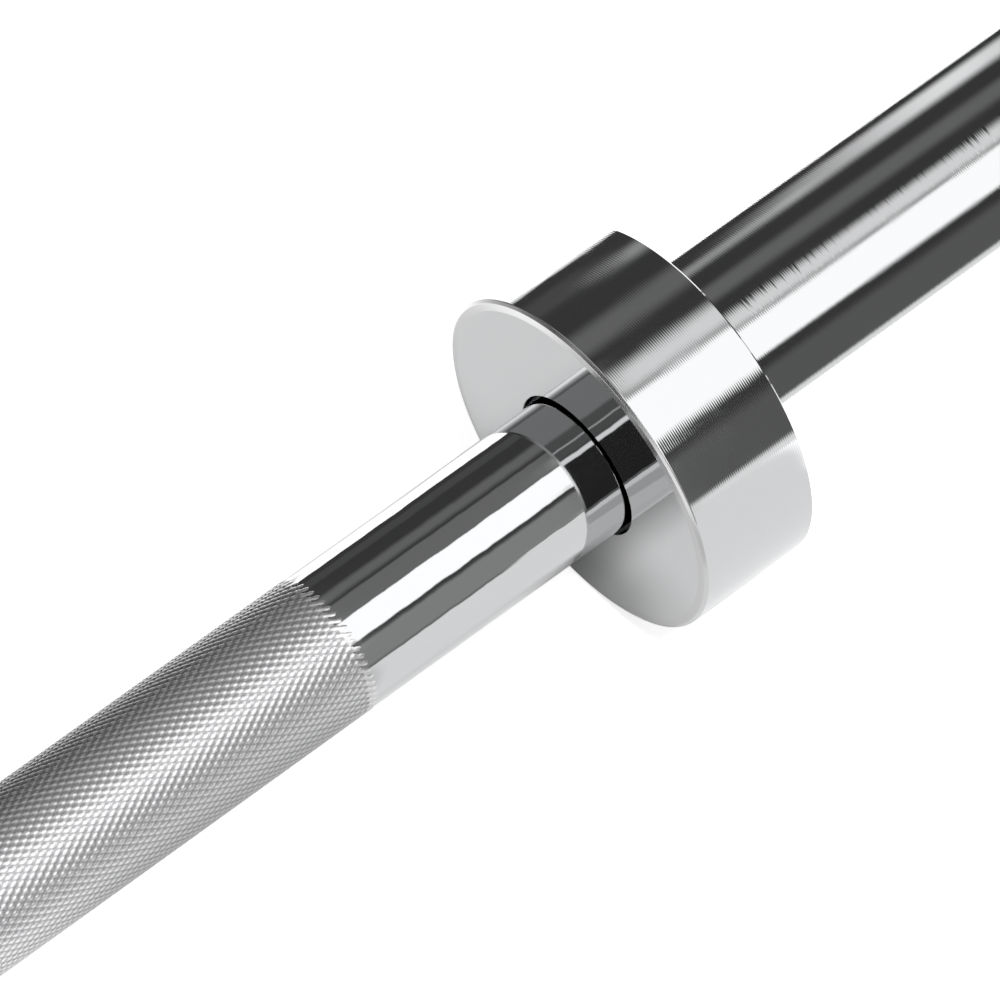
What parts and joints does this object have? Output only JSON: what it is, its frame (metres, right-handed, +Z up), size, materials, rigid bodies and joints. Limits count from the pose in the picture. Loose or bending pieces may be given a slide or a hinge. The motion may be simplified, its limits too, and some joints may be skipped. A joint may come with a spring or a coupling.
{
  "type": "olympic barbell",
  "caption": "Straight knurled steel bar with a wide collar and a freely spinning sleeve for weight plates at each end.",
  "frame": {"origin": "middle of the bar, on its axis", "axes": "+X along the bar towards its right end, +Z up"},
  "size_m": [2.2, 0.076, 0.076],
  "materials": {
    "polished_chrome": "polished",
    "turned_chrome": "finely turned and chromed",
    "ground_steel": "ground",
    "bronze": "machined",
    "blackened_steel": "blackened"
  },
  "bodies": {
    "shaft": {"shaft": "polished_chrome", "left_inner_thrust_washer": "ground_steel", "left_outer_thrust_washer": "ground_steel", "left_retaining_ring": "blackened_steel", "right_inner_thrust_washer": "ground_steel", "right_outer_thrust_washer": "ground_steel", "right_retaining_ring": "blackened_steel"},
    "left_sleeve": {"left_collar": "polished_chrome", "left_sleeve_tube": "turned_chrome", "left_end_cap": "polished_chrome", "left_end_cap_snap_ring": "blackened_steel", "left_inner_bushing": "bronze", "left_inner_bearing_cup": "ground_steel", "left_outer_bearing_cup": "ground_steel", "left_outer_bushing": "bronze"},
    "left_inner_cage": {"left_inner_bearing_cage": "blackened_steel", "left_inner_bearing_needles": "ground_steel"},
    "left_outer_cage": {"left_outer_bearing_cage": "blackened_steel", "left_outer_bearing_needles": "ground_steel"},
    "right_sleeve": {"right_collar": "polished_chrome", "right_sleeve_tube": "turned_chrome", "right_end_cap": "polished_chrome", "right_end_cap_snap_ring": "blackened_steel", "right_inner_bushing": "bronze", "right_inner_bearing_cup": "ground_steel", "right_outer_bearing_cup": "ground_steel", "right_outer_bushing": "bronze"},
    "right_inner_cage": {"right_inner_bearing_cage": "blackened_steel", "right_inner_bearing_needles": "ground_steel"},
    "right_outer_cage": {"right_outer_bearing_cage": "blackened_steel", "right_outer_bearing_needles": "ground_steel"}
  },
  "joints": [
    {"name": "left_sleeve_spin", "type": "hinge", "parent": "shaft", "child": "left_sleeve", "pos_m": [-0.878, 0, 0], "axis": [1, 0, 0], "continuous": true},
    {"name": "left_inner_cage_spin", "type": "hinge", "parent": "shaft", "child": "left_inner_cage", "pos_m": [-0.7007, 0, 0], "axis": [1, 0, 0], "continuous": true},
    {"name": "left_outer_cage_spin", "type": "hinge", "parent": "shaft", "child": "left_outer_cage", "pos_m": [-1.0454, 0, 0], "axis": [1, 0, 0], "continuous": true},
    {"name": "right_sleeve_spin", "type": "hinge", "parent": "shaft", "child": "right_sleeve", "pos_m": [0.878, 0, 0], "axis": [1, 0, 0], "continuous": true},
    {"name": "right_inner_cage_spin", "type": "hinge", "parent": "shaft", "child": "right_inner_cage", "pos_m": [0.7007, 0, 0], "axis": [1, 0, 0], "continuous": true},
    {"name": "right_outer_cage_spin", "type": "hinge", "parent": "shaft", "child": "right_outer_cage", "pos_m": [1.0454, 0, 0], "axis": [1, 0, 0], "continuous": true}
  ],
  "couplings": [
    {"joint": "left_inner_cage_spin", "follows": "left_sleeve_spin", "ratio": 0.541},
    {"joint": "left_outer_cage_spin", "follows": "left_sleeve_spin", "ratio": 0.541},
    {"joint": "right_inner_cage_spin", "follows": "right_sleeve_spin", "ratio": 0.541},
    {"joint": "right_outer_cage_spin", "follows": "right_sleeve_spin", "ratio": 0.541}
  ]
}
